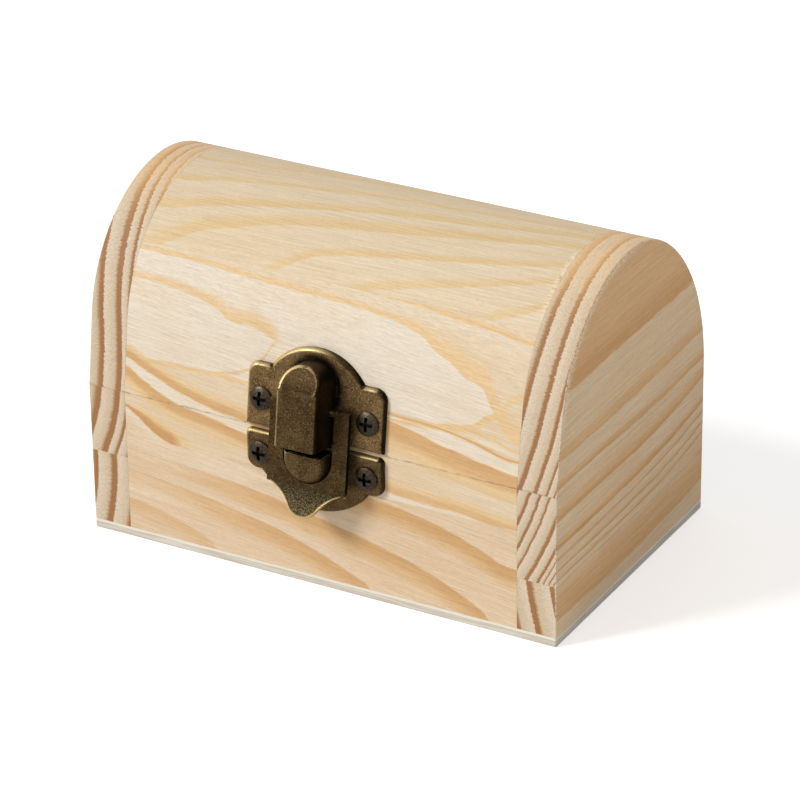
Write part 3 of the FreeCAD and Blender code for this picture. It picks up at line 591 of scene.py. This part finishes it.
LOWER = {"Pale": (0.76, 0.58, 0.395, 1), "Chalk": (0.80, 0.64, 0.46, 1),
         "Honey": (0.72, 0.48, 0.26, 1), "Band": (0.62, 0.36, 0.15, 1)}
LOWER_TONGUES = [
    ([(-55, 28.8), (-25, 28.6), (-8, 25.5)], [(-55, 23), (-30, 21.5), (-8, 25.4)], 1.0, 1.0, 0.0),
    ([(-55, 18.5), (-35, 16.5), (-18, 14)], [(-55, 13), (-40, 12), (-18, 13.9)], 1.0, 1.0, 0.0),
]
LOWER_BANDS = [
    ([(5, 29), (15, 27.9), (25, 26.6), (35, 24.5), (45, 21.2), (54, 18.5)], 7.5,
     (0.0, 0.85, -5, 15)),
    ([(-55, 26), (-35, 23.9), (-15, 21.6), (0, 18.8), (20, 14.5), (30, 11.6), (37.5, 8.5), (45, 4.8),
      (48.8, 2.2)], 7.5, (0.15, 0.8, -50, -5)),
    ([(-55, 19.1), (-35, 17), (-25, 15.4), (-15, 13.5), (-5, 10.8), (5, 7.2), (12.5, 4.1), (16.2, 2.2)],
     7.5, (0.25, 0.75, -50, -10)),
    ([(-55, 11), (-45, 9.5), (-37.5, 7.2), (-31.2, 4.8), (-27.5, 2.2)], 6.0, 0.4),
]
front_pine = pine_material("front_pine", X, 5, drawn_figure(
    Z, low=18, high=82, tongues=FRONT_TONGUES, bands=FRONT_BANDS), PLANED, slope=0.1)
front_lower_pine = pine_material("front_lower_pine", X, 6, drawn_figure(
    Z, low=0, high=32, tongues=LOWER_TONGUES, bands=LOWER_BANDS, downward=True, raggedness=0.6),
    LOWER, slope=0.12)
back_pine = pine_material("back_pine", X, 7, ring_figure(
    across=(0.02, 1, 0, -5), up=(-0.05, 0, 1, -35),
    rings=[-8, 0, 4, 9, 13, 18, 22, 25, 29, 34, 38, 41, 45, 50, 55, 62, 70],
    waviness=5.0, raggedness=0.6), PLANED)
for node, pine in {"front_lower_strip": front_lower_pine, "front_upper_strip": front_pine,
                   "back_board": back_pine}.items():
    stand_in(node, soft_copy(node, BOARD_ARRIS, WALL_SEAMS), pine)

# Lid
# Front, back and top boards glued edge to edge between two arched ends, then sanded to one arch.
# The saw left it rough at the right end. Shut, it settles on the base with hardly a gap.
LID_BOTTOM = 40.2 * MM
SETTLED_BOTTOM = (BASE_TOP + SHUT_GAP) * MM
TOP_JOINT = 29.0
LID_SEAMS = END_JOINTS + [(Y, -TOP_JOINT), (Y, TOP_JOINT)] + PARTING
FRAY_START = 2.6
FRAY_FULL = 0.6
FRAY_RISE = 6.0
FRAY_BACK = 8.0
TORN_START = 1.4
TORN_FULL = 0.2
TORN_TAPER = 2.0
GOUGES = (1.6, 0.8, 0.8)
CREAM = {"Pale": (0.77, 0.62, 0.43, 1), "Chalk": (0.80, 0.67, 0.49, 1),
         "Honey": (0.76, 0.57, 0.32, 1), "Band": (0.70, 0.47, 0.22, 1)}
TOP_BANDS = [
    ([(-55, 9), (-20, 13), (20, 16), (55, 18)], 4.0, 0.5),
    ([(-55, 17), (-10, 20), (55, 24)], 5.0, 0.5),
    ([(-55, -3), (-20, 3), (10, 7), (55, 10)], 4.0, 0.4),
    ([(-55, -13.1), (-40, -9.8), (-20, -6.2), (0, -3), (20, -1.1), (30, 0.1), (55, 2.6)], 3.0, 0.5),
    ([(-55, -21.8), (-40, -18.6), (-30, -16.3), (-15, -13.4), (0, -10.4), (20, -7.7), (40, -4.2),
      (54, -2)], 4.0, 0.6),
    ([(-55, -30.9), (-47.5, -28.2), (-40, -24.9), (-30, -22.4), (-20, -19.7), (0, -16.6), (20, -13.4),
      (40, -9.8), (54, -7.3)], 4.5, 0.65),
    ([(-22.5, -30.9), (-15, -28.2), (-10, -25.8), (-5, -24.3), (5, -22.7), (25, -19.7), (45, -16.3),
      (54, -14.6)], 2.6, 0.65),
    ([(0, -30.9), (12.5, -28.2), (25, -25.8), (35, -23.9), (45, -21.6), (54, -19.5)], 2.6, 0.55),
    ([(35, -30.9), (45, -28.2), (50, -26.9), (55, -24.9)], 2.5, 0.6),
]


def frayed_arch(y, z, radius):
    """Fluff along the front half of an end board's round edge, given its centre and its radius."""
    def damage(tree, point, place):
        parts = components(tree, point)
        across = components(tree, surface_normal(tree))[X]
        spoke = scaled(tree, vector_calc(tree, "SUBTRACT", point, (0, y, z))[0], (0, 1, 1))
        away = vector_calc(tree, "LENGTH", spoke)[1]
        fluff = product(tree, ease(tree, away, radius - FRAY_START, radius - FRAY_FULL),
                        ease(tree, calc(tree, "ABSOLUTE", across), 0.5, 0.9),
                        ease(tree, parts[Z], z, z + FRAY_RISE),
                        ease(tree, parts[Y], FRAY_BACK, -FRAY_BACK))
        return fluff, 0.0

    return damage


def torn_fibres(x, first, last):
    """Fluff, and gouged pits darkened as painted shade, beside a joint at a place in X, from a first to
    a last Y.
    """
    def damage(tree, point, place):
        parts = components(tree, point)
        fluff = product(tree, ease(tree, off(tree, parts[X], x), TORN_START, TORN_FULL),
                        ease(tree, parts[Y], first - TORN_TAPER, first + TORN_TAPER),
                        ease(tree, parts[Y], last + TORN_TAPER, last - TORN_TAPER))
        return fluff, product(tree, fluff, ease(tree, streaks(tree, place, GOUGES), 0.48, 0.6))

    return damage


top_pine = pine_material("top_pine", X, 8, drawn_figure(
    Y, low=-32, high=32, bands=TOP_BANDS, raggedness=0.7), CREAM,
    damage=torn_fibres(x=54.2, first=-26, last=-8))
left_lid_pine = pine_material("left_lid_pine", Y, 1, ring_figure(
    across=(1, 0, 0, 215.5), up=(0, 0.01, 1, -45),
    rings=[140, 149, 154.8, 160, 162.8, 165.7, 168.5, 172],
    waviness=0.8, raggedness=0.35, onset=0.42, tear=1.4), WARM)
right_lid_pine = pine_material("right_lid_pine", Y, 9, ring_figure(
    across=(1, 0, 0, 73), up=(0, 0.01, 1, -80),
    rings=[118, 124, 130.2, 135, 138.8, 141.5, 143.3, 146, 150],
    waviness=0.6, raggedness=0.3, onset=0.53, bend=0.001, tear=1.2), WARM,
    damage=frayed_arch(y=-2.4, z=53.4, radius=35.3))
LID_BOARDS = {
    "lid_front_board": front_pine, "lid_back_board": back_pine, "lid_top_board": top_pine,
    "left_lid_end": left_lid_pine, "right_lid_end": right_lid_pine,
}
for node, pine in LID_BOARDS.items():
    board = soft_copy(node, BOARD_ARRIS, LID_SEAMS, settle=(LID_BOTTOM, SETTLED_BOTTOM))
    stand_in(node, board, pine)

# Latch
# Stamped sheet, screwed to the lid and the base, with an antique bronze finish: olive brown on the
# flats, nearly black in and around the hollows, partly as patina and partly as painted shade, and
# rubbed to gold along the round edges, with a painted highlight on those that face the upper left.
# The hood's front, faces that look up and faces to the right are darkened as painted shade. The
# hasp's lip is coarsely speckled, and its specks darken towards its fold as painted shade.
METAL_ARRIS = 0.15 * MM
SHORTEST_ARRIS = 0.02 * MM
FINEST = 1.2 * MM
PASSES = 4
# Hollows are sought this far, so the plate beside the hood darkens too, as painted shade.
REACH = 6.0 * MM
LOOKS = 32
CLEAR = 0.02 * MM
ROUND_EDGE = 2.0 * MM
GOLDEN_ANGLE = math.pi * (3 - math.sqrt(5))
BRONZE = {"dark": (0.12, 0.07, 0.028, 1), "light": (0.21, 0.13, 0.055, 1),
          "glint": (0.40, 0.28, 0.13, 1), "pit": (0.045, 0.027, 0.011, 1),
          "dark speck": (0.022, 0.016, 0.008, 1), "light speck": (0.145, 0.11, 0.052, 1),
          "soot_and_shade": (0.012, 0.008, 0.004, 1), "gold wear and highlight": (0.66, 0.50, 0.24, 1)}
MOTTLE = 3.0
GRIT = 0.35
SPECK = 0.28
SPECK_TAPER = 0.6
# Over this height the lip's specks darken towards its fold, as painted shade.
SPECK_SHADE_SPAN = 6.0
HOOD_FRONT = -48.5
HOOD_BACK = -46.0
# Painted shade: tones for the hood's front, for faces that look up and for faces to the right.
HOOD_SHADE = 0.5
UPWARD_SHADE = 0.22
SIDE_SHADE = 0.12
# Round edges that face this way, the upper left, get a painted highlight in gold.
HIGHLIGHT_FROM = (-0.70, -0.30, 0.65)
LIP_TOP = 29.4
HASP_TONE = 0.4
CATCH_TONE = 0.65
# Painted shade on the catch's faces to the right.
CATCH_SIDE_SHADE = 0.4


def sheltered(bm):
    """Divide a copy finely and mark its hollows as "shelter" and its round edges as "wear", 0 to 1."""
    for _ in range(PASSES):
        long_edges = [edge for edge in bm.edges if edge.calc_length() > FINEST]
        bmesh.ops.subdivide_edges(bm, edges=long_edges, cuts=1, use_grid_fill=True)
        bmesh.ops.triangulate(bm, faces=[face for face in bm.faces if len(face.verts) > 4])
    bmesh.ops.dissolve_degenerate(bm, dist=NEAR, edges=bm.edges)
    shelter = bm.verts.layers.float.new("shelter")
    wear = bm.verts.layers.float.new("wear")
    bm.normal_update()
    solid = BVHTree.FromBMesh(bm)
    looks = []
    for i in range(LOOKS):
        height = (i + 0.5) / LOOKS
        out, turn = math.sqrt(1 - height * height), i * GOLDEN_ANGLE
        looks.append(Vector((out * math.cos(turn), out * math.sin(turn), height)))
    for point in bm.verts:
        tilt = Vector((0, 0, 1)).rotation_difference(point.normal)
        start = point.co + point.normal * CLEAR
        hidden = 0.0
        for look in looks:
            distance = solid.ray_cast(start, tilt @ look, REACH)[3]
            if distance is not None:
                hidden += look.z * (1 - distance / REACH)
        point[shelter] = min(1.0, hidden / (LOOKS / 2))
        curving = 0.0
        for edge in point.link_edges:
            other = edge.other_vert(point)
            step = other.co - point.co
            curving += (other.normal - point.normal).dot(step) / max(step.length_squared, NEAR * NEAR)
        curving *= ROUND_EDGE / len(point.link_edges)
        point[wear] = min(1.0, max(0.0, curving))
    return bm


def bronze_material(name, tone=1.0, side_shade=SIDE_SHADE, speckle_top=0.0):
    """Antique bronze dimmed by a tone, with specks below a height.

    Faces to the right are dimmed again by a side tone, as painted shade. The hood's front and faces
    that look up are dimmed by tones of their own, as painted shade.
    """
    material, tree, shader = new_material(name)
    place = millimetres(tree)
    parts = components(tree, place)
    normal = surface_normal(tree)
    facing = components(tree, normal)
    shelter = attribute(tree, "shelter")
    mottle = streaks(tree, place, (MOTTLE,) * 3, 4.0)
    grit = streaks(tree, place, (GRIT,) * 3, 3.0)
    coarse = streaks(tree, place, (SPECK,) * 3, 4.0)
    speckled = ease(tree, parts[Z], speckle_top + SPECK_TAPER, speckle_top - SPECK_TAPER)

    colour = blend(tree, ease(tree, mottle, 0.3, 0.7), BRONZE["dark"], BRONZE["light"])
    colour = blend(tree, ease(tree, grit, 0.52, 0.7, 0.0, 0.8), colour, BRONZE["glint"])
    colour = blend(tree, ease(tree, grit, 0.46, 0.3, 0.0, 0.85), colour, BRONZE["pit"])
    # Painted shade: the hood's front, faces that look up and faces to the right are darkened.
    colour = dimmed(tree, colour, product(
        tree, ease(tree, parts[Y], HOOD_FRONT, HOOD_BACK, HOOD_SHADE, 1.0),
        ease(tree, facing[Z], 0.2, 0.55, 1.0, UPWARD_SHADE),
        ease(tree, facing[X], 0.4, 0.8, 1.0, side_shade), tone))
    specks = blend(tree, ease(tree, coarse, 0.4, 0.66), BRONZE["dark speck"], BRONZE["light speck"])
    # The specks darken towards the fold above the lip, as painted shade.
    specks = dimmed(tree, specks, ease(tree, parts[Z], speckle_top - SPECK_SHADE_SPAN, speckle_top, 1.3, 0.6))
    colour = blend(tree, speckled, colour, specks)
    # Nearly black in and around the hollows: partly patina, partly painted shade.
    soot_and_shade = calc(tree, "MULTIPLY_ADD", centred(tree, mottle), 0.15, shelter)
    colour = blend(tree, ease(tree, soot_and_shade, 0.05, 0.27), colour, BRONZE["soot_and_shade"])

    # Gold along round edges: wear, with a painted highlight where they face the upper left.
    highlit = vector_calc(tree, "DOT_PRODUCT", normal, HIGHLIGHT_FROM)[1]
    highlit = ease(tree, highlit, 0.42, 0.95, 0.0, 0.95)
    highlit = calc(tree, "MAXIMUM", highlit, product(tree, speckled, 0.7))
    wear = ease(tree, attribute(tree, "wear"), 0.35, 0.95)
    edges = calc(tree, "MAXIMUM", attribute(tree, "arris"), wear)
    wear_and_highlight = product(tree, edges, ease(tree, grit, 0.2, 0.5, 0.4, 1.0), highlit,
                     ease(tree, shelter, 0.05, 0.25, 1.0, 0.0))
    colour = blend(tree, wear_and_highlight, colour, BRONZE["gold wear and highlight"])
    tree.links.new(colour, shader.inputs["Base Color"])
    tree.links.new(ease(tree, wear_and_highlight, 0.0, 0.6, 0.6, 1.0), shader.inputs["Metallic"])
    tree.links.new(ease(tree, mottle, 0.2, 0.8, 0.35, 0.5), shader.inputs["Roughness"])
    shader.inputs["Specular IOR Level"].default_value = 0.0
    relief = calc(tree, "MULTIPLY_ADD", product(tree, coarse, speckled), 3.0, grit)
    add_bump(tree, shader, relief, 0.15, 0.1 * MM)
    return material


bronze = bronze_material("antique_bronze")
catch_bronze = bronze_material("antique_bronze_catch", CATCH_TONE, CATCH_SIDE_SHADE)
hasp_bronze = bronze_material("antique_bronze_hasp", HASP_TONE, speckle_top=LIP_TOP)
LATCH = {"latch_plate": bronze, "catch_plate": catch_bronze, "hasp_frame": hasp_bronze}
for node, finish in LATCH.items():
    stand_in(node, sheltered(soft_copy(node, METAL_ARRIS, shortest=SHORTEST_ARRIS)), finish)

# Hinges
# Two butt hinges of the same bronze, screwed to the backs of the base and the lid. Their leaves
# are rolled round plain steel pins.
for node in ("hinge_left_base_leaf", "hinge_right_base_leaf", "hinge_left_lid_leaf",
             "hinge_right_lid_leaf"):
    stand_in(node, sheltered(soft_copy(node, METAL_ARRIS, shortest=SHORTEST_ARRIS)), bronze)

# Screws
# Cross-head screws with a dull dark plating, and painted shade that makes their recesses black. They
# hold the latch and the hinges. The plain pins of the hinges have the same plating.
HEAD_ARRIS = 0.06 * MM
RECESS_REACH = 2.0 * MM
RECESS_FLOOR = 1.2 * MM
STEEP = 0.5
PLATING_GRIT = 0.5
# The recess colour is painted shade.
PLATING = {"dark": (0.034, 0.026, 0.017, 1), "light": (0.078, 0.061, 0.042, 1),
           "edge": (0.20, 0.165, 0.12, 1), "recess_shade": (0.012, 0.010, 0.009, 1)}


def screw_material():
    """Dark plating, a little worn at the edges, with painted shade that makes its recesses black."""
    material, tree, shader = new_material("dark_screw_plating")
    grit = streaks(tree, millimetres(tree), (PLATING_GRIT,) * 3, 3.0)
    colour = blend(tree, ease(tree, grit, 0.3, 0.7), PLATING["dark"], PLATING["light"])
    colour = blend(tree, product(tree, attribute(tree, "arris"), 0.6), colour, PLATING["edge"])
    # Painted shade: the faces inside the recesses are nearly black.
    colour = blend(tree, attribute(tree, "recess_shade"), colour, PLATING["recess_shade"])
    tree.links.new(colour, shader.inputs["Base Color"])
    shader.inputs["Metallic"].default_value = 1.0
    shader.inputs["Roughness"].default_value = 0.42
    add_bump(tree, shader, grit, 0.2, 0.1 * MM)
    return material


def with_recesses(bm, outward):
    """Mark the faces inside the recesses of the heads, which all point along Y."""
    mark = bm.faces.layers.float.new("recess_shade")
    left = set(bm.verts)
    while left:
        screw, edge_of_search = set(), [left.pop()]
        while edge_of_search:
            point = edge_of_search.pop()
            screw.add(point)
            for edge in point.link_edges:
                other = edge.other_vert(point)
                if other in left:
                    left.remove(other)
                    edge_of_search.append(other)
        top = max(point.co.y * outward for point in screw)
        xs = [point.co.x for point in screw]
        zs = [point.co.z for point in screw]
        middle_x, middle_z = (min(xs) + max(xs)) / 2, (min(zs) + max(zs)) / 2
        for face in {face for point in screw for face in point.link_faces}:
            centre = face.calc_center_median()
            depth = top - centre.y * outward
            away = math.hypot(centre.x - middle_x, centre.z - middle_z)
            steep = abs(face.normal.y) < STEEP
            if away < RECESS_REACH and depth < RECESS_FLOOR and (steep or depth > RECESS_FLOOR / 2):
                face[mark] = 1.0
    return bm


screw_plating = screw_material()
for node, outward in {"latch_plate_screws": -1, "catch_screws": -1, "hinge_base_screws": 1,
                      "hinge_lid_screws": 1}.items():
    bm = with_recesses(soft_copy(node, HEAD_ARRIS, shortest=SHORTEST_ARRIS), outward)
    stand_in(node, bm, screw_plating)
for node in ("hinge_left_pin", "hinge_right_pin"):
    stand_in(node, soft_copy(node, HEAD_ARRIS, shortest=SHORTEST_ARRIS), screw_plating)

# Stage
# A plain pale floor under a soft key from the upper left front and a weak light from above, with a
# white surround.
FLOOR_SIZE = 6.0
FLOOR_GLOW = 0.45
SURROUND_LIGHT = 0.39
SUNS = {"key": (2.15, 18, (-0.62, -0.62, 0.66)), "top": (0.3, 60, (0.1, 0.45, 0.89))}

bm = bmesh.new()
bmesh.ops.create_grid(bm, x_segments=1, y_segments=1, size=FLOOR_SIZE / 2)
floor_mesh = bpy.data.meshes.new("floor")
bm.to_mesh(floor_mesh)
bm.free()
floor = bpy.data.objects.new("floor", floor_mesh)
bpy.context.scene.collection.objects.link(floor)
floor_paint, tree, shader = new_material("pale_floor")
shader.inputs["Base Color"].default_value = (0.9, 0.9, 0.9, 1)
shader.inputs["Roughness"].default_value = 0.9
shader.inputs["Emission Color"].default_value = (1, 1, 1, 1)
paths = add_node(tree, "ShaderNodeLightPath").outputs
tree.links.new(product(tree, paths["Is Camera Ray"], FLOOR_GLOW), shader.inputs["Emission Strength"])
floor_mesh.materials.append(floor_paint)

world = bpy.data.worlds.new("white_surround")
bpy.context.scene.world = world
world.use_nodes = True
tree = world.node_tree
tree.nodes.clear()
paths = add_node(tree, "ShaderNodeLightPath").outputs
seen = calc(tree, "MAXIMUM", paths["Is Camera Ray"], paths["Is Transmission Ray"])
seen = calc(tree, "MAXIMUM", seen, paths["Is Glossy Ray"])
strength = ease(tree, seen, 0.0, 1.0, SURROUND_LIGHT, 1.0)
surround = add_node(tree, "ShaderNodeBackground", {"Color": (1, 1, 1, 1), "Strength": strength})
output = tree.nodes.new("ShaderNodeOutputWorld")
tree.links.new(surround.outputs[0], output.inputs[0])

for name, (energy, spread, source) in SUNS.items():
    sun = bpy.data.lights.new(name, "SUN")
    sun.energy = energy
    sun.angle = math.radians(spread)
    lamp = bpy.data.objects.new(name, sun)
    lamp.rotation_mode = "QUATERNION"
    lamp.rotation_quaternion = (-Vector(source)).to_track_quat("-Z", "Y")
    bpy.context.scene.collection.objects.link(lamp)

# Camera
# A long lens, to the right of the front and looking down on the lid.
CAMERA_LENS = 185.2
CAMERA_PLACE = Vector((0.4513, -0.7951, 0.4914))
CAMERA_TARGET = Vector((0.00125, -0.001, 0.0337))
CAMERA_ROLL = math.radians(-0.79)
camera = bpy.data.objects.new("camera", bpy.data.cameras.new("camera"))
camera.data.lens = CAMERA_LENS
camera.location = CAMERA_PLACE
camera.rotation_mode = "QUATERNION"
aim = (CAMERA_TARGET - CAMERA_PLACE).to_track_quat("-Z", "Y")
camera.rotation_quaternion = aim @ Quaternion((0, 0, 1), CAMERA_ROLL)
bpy.context.scene.collection.objects.link(camera)
bpy.context.scene.camera = camera
bpy.context.scene.view_settings.view_transform = "Standard"
